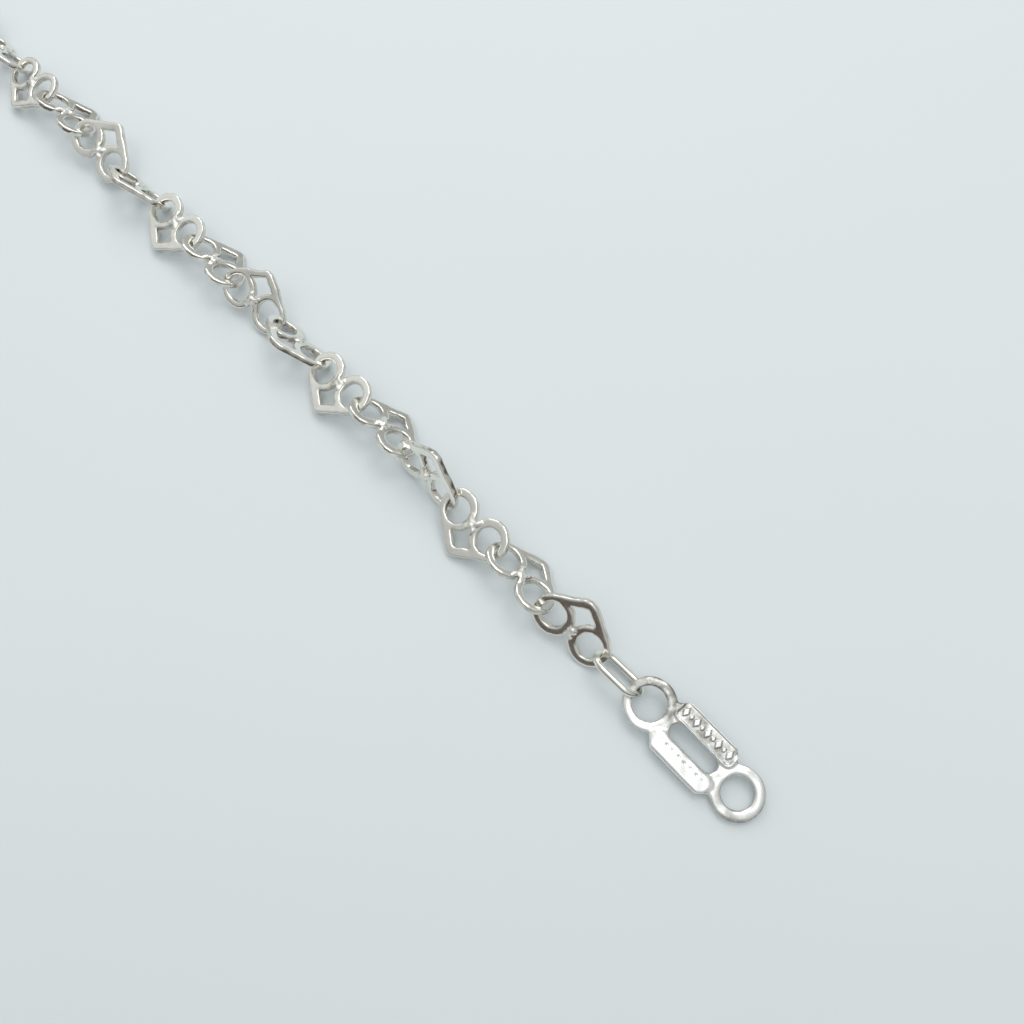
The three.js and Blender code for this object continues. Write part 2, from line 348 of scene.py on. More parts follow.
# wave, scratch and ding are heights in metres; smooth and rough are the ends of the roughness; film
# is the darker colour of both tarnish and painted shade, and the number after it scales both
finishes = {
    "link": {"silver": (0.905, 0.895, 0.835, 1), "film": (0.30, 0.265, 0.215, 1), "tarnishAndShade": 0.70,
             "smooth": 0.09, "rough": 0.24,
             "wave": 0.000012, "scratch": 0.0000007, "ding": 0.000004},
    "tag": {"silver": (0.94, 0.94, 0.92, 1), "film": (0.335, 0.33, 0.30, 1), "tarnishAndShade": 1.5,
            "smooth": 0.17, "rough": 0.36,
            "wave": 0.000010, "scratch": 0.0000012, "ding": 0.000005},
    "clasp": {"silver": (0.92, 0.91, 0.89, 1), "film": (0.42, 0.37, 0.30, 1), "tarnishAndShade": 0.5,
              "smooth": 0.12, "rough": 0.26,
              "wave": 0.000012, "scratch": 0.0000008, "ding": 0.000004},
}
wearLook = {"edgeRub": 0.6, "filmDull": 0.8, "solderRough": 0.38}


# Dullness is wear * (1 - edgeRub * edge) + filmDull * film: worn faces are duller than the rubbed
# edges, and the solder stays frosted.
def silverMaterial(name, finish, wear):
    material = bpy.data.materials.new(name)
    material.use_nodes = True
    tree = material.node_tree
    shader = tree.nodes["Principled BSDF"]
    place = addNode(tree, "ShaderNodeTexCoord").outputs["Object"]
    # the first attribute is the share of tarnish and painted shade, darkening the base colour
    # towards the film colour
    filmAndShadeShare, edge, solder = [addNode(tree, "ShaderNodeAttribute", attribute_name=key).outputs["Fac"]
                            for key in ("filmAndShadeShare", "edge", "solder")]
    marks = addNode(tree, "ShaderNodeGroup", node_tree=polishMarks)
    for key in ("wave", "scratch", "ding"):
        marks.inputs[key.title() + " Height"].default_value = finish[key]
    film = addNode(tree, "ShaderNodeGroup", node_tree=tarnishAndShadeFilm)
    for key, value in (("Amount", "tarnishAndShade"), ("Silver", "silver"), ("Film And Shade Color", "film")):
        film.inputs[key].default_value = finish[value]
    tree.links.new(place, marks.inputs["Position"])
    tree.links.new(place, film.inputs["Position"])
    tree.links.new(filmAndShadeShare, film.inputs["Film And Shade Share"])
    tree.links.new(film.outputs["Color"], shader.inputs["Base Color"])
    kept = mathNode(tree, "SUBTRACT", 1.0, mathNode(tree, "MULTIPLY", edge, wear["edgeRub"]))
    dull = mathNode(tree, "MULTIPLY", marks.outputs["Wear"], kept)
    dim = mathNode(tree, "MULTIPLY", film.outputs["Mask"], wear["filmDull"])
    dull = mathNode(tree, "ADD", dull, dim, True)
    ends = {"To Min": finish["smooth"], "To Max": finish["rough"]}
    rough = addNode(tree, "ShaderNodeMapRange", ends, {"Value": dull}).outputs["Result"]
    frost = mathNode(tree, "MULTIPLY", solder, wear["solderRough"])
    tree.links.new(mathNode(tree, "MAXIMUM", rough, frost), shader.inputs["Roughness"])
    bump = addNode(tree, "ShaderNodeBump", {"Strength": 1.0, "Distance": 1.0},
                   {"Height": marks.outputs["Height"]})
    tree.links.new(bump.outputs["Normal"], shader.inputs["Normal"])
    shader.inputs["Metallic"].default_value = 1.0
    return material


linkSilver = silverMaterial("linkSilver", finishes["link"], wearLook)
tagSilver = silverMaterial("tagSilver", finishes["tag"], wearLook)
claspSilver = silverMaterial("claspSilver", finishes["clasp"], wearLook)
print("materials made")


# A heart link is a pierced plate: two rings side by side on the x axis, and a window between two
# straight sides that meet at the tip, towards +y.
heart = {
    "tip": 2.020,            # reach of the solid link's tip from the line through its ring centres
    "ringOuter": 1.105, "ringHole": 0.695, "ringSpacing": 2.30,
    "holeShift": (0.02, 0.045),   # the holes sit a little outwards and towards the tip
    "seamAngle": 0.225,      # radians of each ring taken up by the solder
    "apexReach": 2.145, "apexRound": 0.60, "sideWidth": 0.465,
    "thickness": 0.35, "reach": 0.165, "edge": {"across": 0.44, "up": 0.46}, "crown": 0.025,
    "solder": 0.11, "solderRadius": 0.38, "solderArms": 0.28, "solderFall": 0.7,
    "solderSquash": 0.85, "armSquash": 0.8, "solderLumps": 0.40, "lumpRates": ((15, 4), (-5, 14)),
    "outerWear": 0.04, "windowWear": 0.06,
    "outerStep": 0.06, "windowStep": 0.04, "holeStep": 0.08, "grain": 0.06,
    "edgeFades": (0.75, 0.98), "faceFades": (0.3, 0.95), "beadFades": (0.05, 0.5),
    # slow waves push the sides about: their size and radians per millimetre, and their share at the
    # hooked rings, which grows to 1 over looseFades
    "bend": 0.022, "bendRates": (3.1, 5.3, 2.7, 5.9, 1.4, 2.3),
    "hookedShare": 0.35, "looseFades": (0.1, 1.2),
    # short ones thin and thicken the sides: radians per millimetre of x and of y
    "dents": 0.012, "dentRates": ((9.1, 4.3), (-3.1, 8.3), (-5.2, 8.7), (9.7, 2.9)),
    "beadShift": 0.05, "beadSpread": (0.65, 1.15),
}
# no two castings are quite alike
heartKinds = [
    {"apexRound": 0.72, "apexReach": 2.175, "windowWear": 0.075},
    {"ringHole": 0.740, "holeShift": (0.02, 0.015), "sideWidth": 0.445, "reach": 0.150,
     "edge": {"across": 0.66, "up": 0.56}, "crown": 0.05},
    {"apexRound": 0.46, "apexReach": 2.110, "sideWidth": 0.49,
     "edge": {"across": 0.58, "up": 0.52}, "crown": 0.035},
    {"edge": {"across": 0.50, "up": 0.50}},
]
kindOrder = (0, 1, 2, 0, 3, 2)   # repeated along the chain
# share of the darker film colour: an even tarnish tone, tarnish with painted shade on the cut
# walls, painted shade in the window's corners (x, y and size), and tarnish round the solder
heartFilmAndShade = {
    "base": 0.20, "wall": 0.75, "wallFades": (0.42, 0.80),
    "seam": 0.45, "seamAt": 0.38, "seamWidth": 0.13,
    "window": 0.35, "corners": ((0.62, 1.0, 0.20), (0.0, 1.6, 0.18)), "underSolder": 0.7,
}


# The outer loop follows both rings and the rounded tip, joined by the straight lines that touch
# them. A side is square to the direction lean, so the window's line lies sideWidth inside it.
def heartLoops(p):
    ringX = p["ringSpacing"] / 2
    tipDistance = np.hypot(ringX, p["apexReach"])
    lean = np.arctan2(ringX, p["apexReach"]) + np.arcsin(p["ringOuter"] / tipDistance)
    apexY = p["apexReach"] - p["apexRound"] / np.sin(lean)
    ring = arc(ringX, 0, p["ringOuter"], -np.pi + p["seamAngle"], lean)
    apex = arc(0, apexY, p["apexRound"], lean, np.pi - lean, 12)
    outer = np.vstack([ring, apex, mirrored(ring)])
    sideReach = p["apexReach"] * np.sin(lean) - p["sideWidth"]
    corner = lean + np.arccos((sideReach - ringX * np.cos(lean)) / p["ringOuter"])
    side = arc(ringX, 0, p["ringOuter"], corner, np.pi - p["seamAngle"])
    window = np.vstack([[[0, sideReach / np.sin(lean)]], side, mirrored(side)])
    holeX, holeY = ringX + p["holeShift"][0], p["holeShift"][1]
    holes = [holeLoop(x, holeY, p["ringHole"], 60) for x in (holeX, -holeX)]
    return [softened(outer, p["outerStep"], p["outerWear"]),
            softened(window, p["windowStep"], p["windowWear"])] + [
        softened(hole, p["holeStep"], p["outerWear"]) for hole in holes]


# an even plate over the heart's loops; edge is 1 on the walls and 0 on the faces
def heartUnit(p):
    half = lambda points: np.full(len(points), p["thickness"] / 2)
    reach = lambda loop: np.full(len(loop), p["reach"])
    profile = edgeProfile(p["edge"], p["crown"])
    points, quads, triangles = plateSurface(heartLoops(p), profile, reach, half, p["grain"])
    edge = 1 - smoothStep(levelOf(points[:, 2], p), *p["edgeFades"])
    return points, quads, triangles, edge


# Star-shaped bead of solder over the seam: it falls from its middle as (1 - (r / radius)^2)^fall,
# with a radius that swells towards four arms, and short waves make it lumpy.
def beadHeight(x, y, p, lumps):
    r, angle = np.hypot(x, y * p["solderSquash"]), np.arctan2(y * p["armSquash"], x)
    radius = p["solderRadius"] * (1 + p["solderArms"] * np.cos(4 * angle + np.pi))
    bead = np.clip(1 - (r / radius) ** 2, 0, 1) ** p["solderFall"]
    waves = ripple(x, y, p["lumpRates"][0], lumps[0]) * ripple(x, y, p["lumpRates"][1], lumps[1])
    return p["solder"] * bead * (1 + p["solderLumps"] * waves)


heartUnits = [heartUnit({**heart, **change}) for change in heartKinds]
for points, quads, triangles, edge in heartUnits:
    print("heart link:", len(points), "points,", 2 * len(quads) + len(triangles), "triangles")


# the solid's corners lie further out on the tip's side, which is +y; the tip fixes the origin
def heartPose(name, p):
    corners, middle, along, across = solidAxes(name)
    side = (corners - middle) @ across
    if np.sum(side ** 3) < 0:
        across = -across
        side = -side
    return poseOf(middle + across * (side.max() - p["tip"]), along, across)


# even tarnish (base) + tarnish with painted shade on the walls, a tarnish ring round the seam, and
# painted shade as a bell exp(-(distance / size)^2) in each window corner
def heartFilmAndShadeShare(points, p, film):
    x, y, z = points.T
    wall = 1 - smoothStep(levelOf(z, p), *film["wallFades"])
    seam = np.exp(-((np.hypot(x, y) - film["seamAt"]) / film["seamWidth"]) ** 2)
    window = sum(np.exp(-(np.hypot(np.abs(x) - cx, y - cy) / size) ** 2)
                 for cx, cy, size in film["corners"])
    dark = film["base"] + film["wall"] * wall + film["seam"] * seam + film["window"] * window
    return np.clip(dark, 0, 1)


heartNames = [name for name in sorted(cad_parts) if name.startswith("heart_")]
for count, name in enumerate(heartNames):
    points, quads, triangles, edge = heartUnits[kindOrder[count % len(kindOrder)]]
    # tarnish with painted shade on the walls, and painted shade in the window's corners
    filmAndShadeShare = heartFilmAndShadeShare(points, heart, heartFilmAndShade)
    x, y, z = points.T
    phase = draws.uniform(0, 2 * np.pi, 6)
    size = draws.uniform(-1, 1, 6) * heart["bend"]
    # each wave is size * sin(rate * place + phase), less of it at the hooked rings
    wave = lambda k, place: size[k] * np.sin(heart["bendRates"][k] * place + phase[k])
    hooked = heart["hookedShare"]
    loose = hooked + (1 - hooked) * smoothStep(y, *heart["looseFades"])
    dx = loose * (wave(0, y) + wave(1, y))
    dy = loose * (wave(2, x) + wave(3, x))
    dz = loose * (wave(4, y) + wave(5, x))
    starts = draws.uniform(0, 2 * np.pi, 4)
    ripples = [ripple(x, y, rates, start) for rates, start in zip(heart["dentRates"], starts)]
    dx += heart["dents"] * ripples[0] * ripples[1]
    dy += heart["dents"] * ripples[2] * ripples[3]
    face = smoothStep(levelOf(z, heart), *heart["faceFades"])
    shift = draws.uniform(-heart["beadShift"], heart["beadShift"], 2)
    spread = draws.uniform(*heart["beadSpread"])
    bead = beadHeight((x - shift[0]) / spread, (y - shift[1]) / spread, heart, phase[:2])
    bead = face * bead * spread
    own = np.column_stack([x + dx, y + dy, z + dz + np.sign(z) * bead])
    solder = smoothStep(bead / heart["solder"], *heart["beadFades"])
    values = {"edge": edge, "filmAndShadeShare": filmAndShadeShare * (1 - heartFilmAndShade["underSolder"] * solder),
              "solder": solder}
    piece = meshPiece(name.replace("heart", "heart_link"), laid(own, heartPose(name, heart)),
                      [quads, triangles], linkSilver, values)
    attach(piece, "root")
    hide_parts(name)
print("hearts:", len(heartNames))


# the inner share is painted shade on the inside of the loop, over an even film tone
connector = {
    "length": 3.06, "width": 1.76, "wire": 0.35, "thickness": 0.34, "square": 2.6,
    "step": 0.045, "wear": 0.06, "sides": 24,
    "edge": 0.5, "film": 0.2, "innerShade": 0.3, "innerFades": (0.7, 0.9),
}


# A wire section carried round a long loop: path + side * w(v) + up * h(v), where w and h follow a
# squared circle |cos v|^(2/n), |sin v|^(2/n).
def ovalUnit(p):
    radius = (p["width"] - p["wire"]) / 2
    end = (p["length"] - p["width"]) / 2
    path = np.vstack([arc(end, 0, radius, -np.pi / 2, np.pi / 2),
                      arc(-end, 0, radius, np.pi / 2, 3 * np.pi / 2)])
    path = softened(path, p["step"], p["wear"])
    left = leftOf(path)
    v = np.linspace(0, 2 * np.pi, p["sides"], endpoint=False)
    w = np.sign(np.cos(v)) * np.abs(np.cos(v)) ** (2 / p["square"]) * p["wire"] / 2
    h = np.sign(np.sin(v)) * np.abs(np.sin(v)) ** (2 / p["square"]) * p["thickness"] / 2
    flat = path[:, None] - left[:, None] * w[None, :, None]
    points = np.dstack([flat, np.broadcast_to(h, flat.shape[:2])]).reshape(-1, 3)
    n, m = len(path), len(v)
    i, j = np.meshgrid(np.arange(n), np.arange(m), indexing="ij")
    a, b = (i + 1) % n, (j + 1) % m
    return points, np.stack([i * m + j, a * m + j, a * m + b, i * m + b], -1).reshape(-1, 4)


ovalPoints, ovalQuads = ovalUnit(connector)
offCentre = np.abs(ovalPoints[:, 1]) / (connector["width"] / 2)
# painted shade on the inner side of the loop
inward = 1 - smoothStep(offCentre, *connector["innerFades"])
ovalValues = {"edge": np.full(len(ovalPoints), connector["edge"]),
              "filmAndShadeShare": connector["film"] + connector["innerShade"] * inward}
for name in ("connector_near", "connector_far"):
    pose = poseOf(*solidAxes(name)[1:])
    piece = meshPiece(name.replace("connector", "oval_link"), laid(ovalPoints, pose),
                      [ovalQuads], linkSilver, ovalValues)
    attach(piece, "root")
    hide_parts(name)
print("connectors made")


# The tag is two bars side by side between two rings: the chain's ring at -x, the free one at +x.
# A box on a bar says how far its ends and sides stand out past the bar's, its corner radius, how
# much it lifts the face, and the depths inside its outline between which it does.
tag = {
    "middle": (27.35, -7.425, 0.5265), "bearing": -44, "roll": 6, "tilt": 3.8,
    "ringSpacing": 5.62, "ring": 1.32, "thickness": 0.38,
    "holes": ((-2.85, 0.85), (2.81, 0.79)),      # place along the tag and radius
    "barLength": 1.92, "barWidth": 1.48, "barCorner": 0.48, "barInner": 0.42, "slotLength": 1.42,
    "outerWear": 0.10, "slotWear": 0.05, "holeWear": 0.03, "step": 0.05, "holeStep": 0.06,
    "reach": 0.19, "edge": {"across": 0.50, "up": 0.50}, "crown": 0.07,
    "grain": 0.035, "grainBelow": 0.09, "edgeFades": (0.7, 0.98),
    "pillow": {"lift": 0.10, "ends": -0.06, "sides": 0.04, "corner": 0.42, "fades": (-0.10, 0.24)},
    "frame": {"lift": 0.085, "ends": -0.08, "sides": 0.02, "corner": 0.34, "fades": (-0.09, 0.12)},
    "panel": {"lift": -0.10, "ends": -0.25, "sides": -0.10, "corner": 0.18, "fades": (-0.05, 0.05)},
    # a row of small lozenges and dots
    "marks": {"lift": 0.085, "count": 9, "reach": 1.38, "lozenge": (0.20, 0.31), "dot": 0.105,
              "dotSquash": 0.75, "fades": (0.62, 1.02)},
    # worn marks in the plain bar, each (aside - stray * share) off its middle line
    "dents": {"depth": 0.045, "shares": (0.6, 1.0, 0.5, 0.9, 1.2, 0.7, 1.0, 0.4),
              "from": -1.35, "to": 1.30, "long": 0.085, "wide": 0.05, "aside": 0.24, "stray": 0.08},
    "ringCrown": {"lift": 0.025, "radius": 1.08, "width": 0.25},
    "web": {"dish": 0.06, "at": 1.66, "long": 0.30, "wide": 0.60},
    "dome": {"drop": 0.018, "radius": 1.4, "fades": (1.45, 2.0)},
    "bow": {"drop": 0.04, "from": 2.8},
    # unevenness of the casting: heights, and radians per millimetre of x and of y
    "uneven": 0.010, "unevenRates": (2.1, 3.7), "unevenStarts": (0.6, 1.1),
    "fine": 0.006, "fineRates": (6.3, 4.9), "faceFades": (0.2, 0.9),
}
# share of the darker film colour: an even tone, painted shade in the sunk panel and tarnish with
# painted shade on the walls, the webs darker, and a grey veil of painted shade over each ring,
# darker to one side
tagFilmAndShade = {
    "base": 0.05, "wall": 0.50, "wallFades": (0.38, 0.70),
    "panel": {"lift": 0.70, "ends": -0.30, "sides": -0.17, "corner": 0.16, "fades": (-0.08, 0.04)},
    "panelLevels": (0.20, 0.25),
    "web": 0.28, "webAt": (1.62, 0.35), "webSize": (0.26, 0.75),
    "chainRing": {"share": 0.78, "along": (1.4, 1.8), "across": (-1.0, 0.7)},
    "freeRing": {"base": 0.10, "share": 0.40, "along": (1.9, 2.3), "across": (0.2, 0.9)},
}


# Outer loop: round each ring from neck to neck, with a bar's cut corners between them. The slot is
# two half circles, and each ring has its own hole.
def tagLoops(p):
    x = p["ringSpacing"] / 2
    neck = np.pi - np.arcsin((p["barWidth"] - p["barCorner"]) / p["ring"])
    shoulder = np.array([[p["barLength"], p["barWidth"] - p["barCorner"]],
                         [p["barLength"] - p["barCorner"], p["barWidth"]]])
    end = np.vstack([shoulder[::-1] * [1, -1], arc(x, 0, p["ring"], -neck, neck), shoulder])
    outer = np.vstack([end, -end])
    slotX = p["slotLength"] - p["barInner"]
    slot = np.vstack([arc(slotX, 0, p["barInner"], np.pi / 2, -np.pi / 2, 24),
                      arc(-slotX, 0, p["barInner"], -np.pi / 2, -3 * np.pi / 2, 24)])
    holes = [holeLoop(at, 0, radius, 80) for at, radius in p["holes"]]
    return [softened(outer, p["step"], p["outerWear"]),
            softened(slot, p["step"], p["slotWear"])] + [
        softened(hole, p["holeStep"], p["holeWear"]) for hole in holes]


# how far a point is inside a rounded box: positive inside
def boxDepth(x, y, middleY, halfX, halfY, r):
    qx, qy = np.abs(x) - halfX + r, np.abs(y - middleY) - halfY + r
    return r - np.hypot(np.maximum(qx, 0), np.maximum(qy, 0)) - np.minimum(np.maximum(qx, qy), 0)


# lift * smooth step of the depth inside a box laid on the bar at +y (side 1) or at -y (side -1)
def barBox(x, y, p, side, box):
    middleY = side * (p["barWidth"] + p["barInner"]) / 2
    halfY = (p["barWidth"] - p["barInner"]) / 2
    halfX = p["barLength"] + box["ends"]
    depth = boxDepth(x, y, middleY, halfX, halfY + box["sides"], box["corner"])
    return box["lift"] * smoothStep(depth, *box["fades"])


# raised marks along the panel: |x| / a + |y| / b = 1 is a lozenge's outline, r = a dot's
def markHeight(x, y, marks):
    raised = np.zeros_like(x)
    for k, at in enumerate(np.linspace(-marks["reach"], marks["reach"], marks["count"])):
        lozenge = np.abs(x - at) / marks["lozenge"][0] + np.abs(y) / marks["lozenge"][1]
        dot = np.hypot(x - at, y * marks["dotSquash"]) / marks["dot"]
        raised = np.maximum(raised, 1 - smoothStep(dot if k % 2 else lozenge, *marks["fades"]))
    return marks["lift"] * raised


# worn marks, each a bell exp(-(dx / long)^2 - (dy / wide)^2)
def dentDepth(x, y, dents):
    depth = np.zeros_like(x)
    places = np.linspace(dents["from"], dents["to"], len(dents["shares"]))
    for at, share in zip(places, dents["shares"]):
        aside = y - dents["aside"] + dents["stray"] * share
        bell = np.exp(-((x - at) / dents["long"]) ** 2 - (aside / dents["wide"]) ** 2)
        depth += dents["depth"] * share * bell
    return depth


# Height added to the top: a pillowed plain bar, a bar with a raised frame round a sunk panel, rings
# rounded on top, the chain's ring domed, the webs dished, and both ends bowed down by a square law.
def tagRelief(x, y, p):
    middleY = (p["barWidth"] + p["barInner"]) / 2
    height = barBox(x, y, p, -1, p["pillow"]) - dentDepth(x, y + middleY, p["dents"])
    height += barBox(x, y, p, 1, p["frame"]) + barBox(x, y, p, 1, p["panel"])
    height += markHeight(x, y - middleY, p["marks"])
    crown, web, dome, bow = p["ringCrown"], p["web"], p["dome"], p["bow"]
    ring = np.hypot(np.abs(x) - p["ringSpacing"] / 2, y)
    height -= dome["drop"] * np.minimum(ring, dome["radius"]) ** 2 * smoothStep(-x, *dome["fades"])
    height += crown["lift"] * np.clip(1 - ((ring - crown["radius"]) / crown["width"]) ** 2, 0, 1)
    dish = np.exp(-((np.abs(x) - web["at"]) / web["long"]) ** 2 - (y / web["wide"]) ** 2)
    return height - web["dish"] * dish - bow["drop"] * np.maximum(np.abs(x) - bow["from"], 0) ** 2


# tarnish with painted shade on the walls, painted shadow on the panel's floor, darker webs, and
# painted shade over the rings' upper faces, on an even tone
def tagDarkness(x, y, z, p, film):
    wall = 1 - smoothStep(levelOf(z, p), *film["wallFades"])
    sunk = barBox(x, y, p, 1, film["panel"]) * (1 - smoothStep(z, *film["panelLevels"]))
    dx = (np.abs(x) - film["webAt"][0]) / film["webSize"][0]
    dy = (y - film["webAt"][1]) / film["webSize"][1]
    near, free = film["chainRing"], film["freeRing"]
    # painted shade: a grey veil, darker to one side of each ring
    veil = near["share"] * smoothStep(-x, *near["along"]) * smoothStep(y, *near["across"])
    freeShare = free["base"] + free["share"] * smoothStep(-y, *free["across"])
    veil += smoothStep(x, *free["along"]) * freeShare
    dark = film["base"] + (sunk + veil) * (z > 0) + film["wall"] * wall
    return np.clip(dark + film["web"] * np.exp(-dx ** 2 - dy ** 2), 0, 1)


# the plate with its relief, then uneven * sin(a x + s) * sin(b y + t) + fine * sin(c x + d y)
def tagUnit(p, film):
    half = lambda points: np.full(len(points), p["thickness"] / 2)
    reach = lambda loop: np.full(len(loop), p["reach"])
    profile = edgeProfile(p["edge"], p["crown"], steps=6, crownSteps=3)
    points, quads, triangles = plateSurface(
        tagLoops(p), profile, reach, half, p["grain"], p["grainBelow"])
    x, y, z = points.T       # z follows what is added to the points' heights
    face = smoothStep(z / (p["thickness"] / 2), *p["faceFades"])
    points[:, 2] += face * tagRelief(x, y, p)
    (a, b), (s, t) = p["unevenRates"], p["unevenStarts"]
    points[:, 2] += (p["uneven"] * np.sin(a * x + s) * np.sin(b * y + t)
                     + p["fine"] * ripple(x, y, p["fineRates"]))
    edge = 1 - smoothStep(levelOf(z, p), *p["edgeFades"])
    return points, quads, triangles, edge, tagDarkness(x, y, z, p, film)


# x runs towards the free end and falls by the tilt; y lies at the roll
def turnedBy(bearing, roll, tilt):
    b, r, t = np.radians([bearing, roll, tilt])
    along = np.array([np.cos(b) * np.cos(t), np.sin(b) * np.cos(t), -np.sin(t)])
    side = np.array([-np.sin(b), np.cos(b), 0])
    across = side * np.cos(r) + np.cross(along, side) * np.sin(r)
    return along, across


tagPoints, tagQuads, tagTriangles, tagEdge, tagDark = tagUnit(tag, tagFilmAndShade)
tagPose = poseOf(np.array(tag["middle"]), *turnedBy(tag["bearing"], tag["roll"], tag["tilt"]))
tagPiece = meshPiece("tag_plate", laid(tagPoints, tagPose), [tagQuads, tagTriangles], tagSilver,
                     {"edge": tagEdge, "filmAndShadeShare": tagDark})
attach(tagPiece, "root")
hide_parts("tag")
print("tag:", len(tagPoints), "points")


# The clasp is a long closed loop with a small flat eye round the origin; the loop lies towards -x.
clasp = {
    "length": 8.60, "width": 4.60, "nose": 1.45, "wall": 0.85, "thickness": 1.36,
    "eye": 1.35, "eyeHole": 0.78, "eyeThickness": 0.42, "overlap": 0.35, "neck": 0.80,
    "eyeSides": 16,          # the solid's eye has this many sides, with a flat one at its tip
    "thins": (-1.95, -1.15),              # where the loop's thickness falls to the eye's
    "eyeReach": 0.24, "wallReach": 0.14, "reachFades": (-2.1, -1.3),
    "edge": {"across": 0.85, "up": 0.62}, "crown": 0.03, "grain": 0.10,
    "step": 0.08, "outerWear": 0.10, "innerWear": 0.05, "holeWear": 0.03,
    "rubbed": 0.5, "film": 0.3,
}


# outline wrapped round two circles on the x axis, the left one first: the lines that touch both
# leave them at the angle whose cosine is (leftR - rightR) / distance
def wrapped(leftX, leftR, rightX, rightR, steps=40):
    t = np.arccos((leftR - rightR) / (rightX - leftX))
    return np.vstack([arc(leftX, 0, leftR, t, 2 * np.pi - t, steps),
                      arc(rightX, 0, rightR, -t, t, steps)])


# outer loop: broad end, nose down to the neck, round the eye, and back along the other side
def claspLoops(p):
    broad, nose = p["width"] / 2, p["nose"]
    broadX = p["eye"] + broad - p["length"]
    noseX = p["overlap"] - p["eye"] - nose
    t = np.arccos((broad - nose) / (noseX - broadX))
    noseEnd = np.arcsin(p["neck"] / nose)
    eyeEnd = np.pi - np.arcsin(p["neck"] / p["eye"])
    outer = np.vstack([
        arc(broadX, 0, broad, t, 2 * np.pi - t, 60), arc(noseX, 0, nose, -t, -noseEnd, 30),
        arc(0, 0, p["eye"], -eyeEnd, eyeEnd, 60), arc(noseX, 0, nose, noseEnd, t, 30)])
    inner = wrapped(broadX, broad - p["wall"], noseX, nose - p["wall"])[::-1]
    hole = holeLoop(0, 0, p["eyeHole"], 80)
    return [softened(loop, p["step"], wear) for loop, wear in (
        (outer, p["outerWear"]), (inner, p["innerWear"]), (hole, p["holeWear"]))]


# thin at the eye, thick round the loop: thickness and reach both ease from one value to the other
def claspUnit(p):
    more = (p["thickness"] - p["eyeThickness"]) / 2
    share = lambda points, fades: 1 - smoothStep(points[:, 0], *fades)
    thick = lambda points: p["eyeThickness"] / 2 + more * share(points, p["thins"])
    reach = lambda loop: p["eyeReach"] + p["wallReach"] * share(loop, p["reachFades"])
    profile = edgeProfile(p["edge"], p["crown"], steps=8)
    return plateSurface(claspLoops(p), profile, reach, thick, p["grain"])


claspPoints, claspQuads, claspTriangles = claspUnit(clasp)
# the solid's eye is at the end nearer to the far connector
corners, middle, along, across = solidAxes("clasp")
oval = solidAxes("connector_far")[1]
along = along if (oval - middle) @ along > 0 else -along
eyeTip = ((corners - middle) @ along).max()
eyeMiddle = middle + along * (eyeTip - clasp["eye"] * np.cos(np.pi / clasp["eyeSides"]))
claspValues = {"edge": np.full(len(claspPoints), clasp["rubbed"]),
               "filmAndShadeShare": np.full(len(claspPoints), clasp["film"])}
claspPiece = meshPiece("clasp_loop", laid(claspPoints, poseOf(eyeMiddle, along, across)),
                       [claspQuads, claspTriangles], claspSilver, claspValues)
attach(claspPiece, "root")
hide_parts("clasp")
print("clasp:", len(claspPoints), "points")


# metres: painted shade, the paper a little greyer towards the near side between the two depths,
# where the light falls off
floorLook = {
    "size": 3.0, "paper": (0.658, 0.702, 0.723, 1), "shade": (0.608, 0.652, 0.671, 1),
    "fades": {"From Min": -0.032, "From Max": 0.0, "To Min": 0.85, "To Max": 0.0},
    "cloud": {"Scale": 45, "Detail": 3, "Roughness": 0.5}, "cloudShare": 0.3,
    "rough": 0.75, "shine": 0.2,
}


# one square, coloured from paper to painted shade by depth + cloudShare * noise
def makeFloor(p):
    s = p["size"] / 2
    grid = np.array([[-s, -s, 0], [s, -s, 0], [s, s, 0], [-s, s, 0]])
    material = bpy.data.materials.new("palePaper")
    material.use_nodes = True
    tree = material.node_tree
    shader = tree.nodes["Principled BSDF"]
    place = addNode(tree, "ShaderNodeTexCoord").outputs["Object"]
    cloud = addNode(tree, "ShaderNodeTexNoise", p["cloud"], {"Vector": place}).outputs["Fac"]
    depth = addNode(tree, "ShaderNodeSeparateXYZ", links={"Vector": place}).outputs["Y"]
    # painted shade: the light's fall-off towards the near side
    front = addNode(tree, "ShaderNodeMapRange", p["fades"], {"Value": depth},
                    interpolation_type="SMOOTHSTEP").outputs["Result"]
    cloudy = mathNode(tree, "MULTIPLY", cloud, p["cloudShare"])
    color = colorMix(tree, mathNode(tree, "ADD", front, cloudy, True), p["paper"], p["shade"])
    tree.links.new(color, shader.inputs["Base Color"])
    shader.inputs["Roughness"].default_value = p["rough"]
    shader.inputs["Specular IOR Level"].default_value = p["shine"]
    return meshPiece("table_top", grid, [np.array([[0, 1, 2, 3]])], material)


floor = makeFloor(floorLook)

# Bearings and elevations are degrees. Each of heights is the sine of an elevation, with the
# brightness there; a spread is two cosines of the angle from a light's middle, and the light fades
# in between them.
surroundings = {
    "heights": [(0.0, 0.35), (0.10, 0.42), (0.30, 0.54), (0.60, 0.56), (0.75, 0.62), (0.90, 0.78)],
    "tint": (0.994, 1.015, 1.012), "strength": 0.92, "fill": 0.25,
    "backdrop": (0.60, 0.66, 0.68, 1),
    "lit": {"bearing": 140, "elevation": 33, "spread": (0.78, 1.0), "gain": 0.50},
    "ceiling": {"bearing": -115, "elevation": 76, "spread": (0.935, 0.99), "gain": 1.45},
    # dim side of the room: brown, low over the horizon
    "dim": {"bearing": -65, "spread": (-0.30, 0.15), "heights": (0.13, 0.40), "share": 0.95,
            "color": (0.058, 0.033, 0.021, 1)},
}


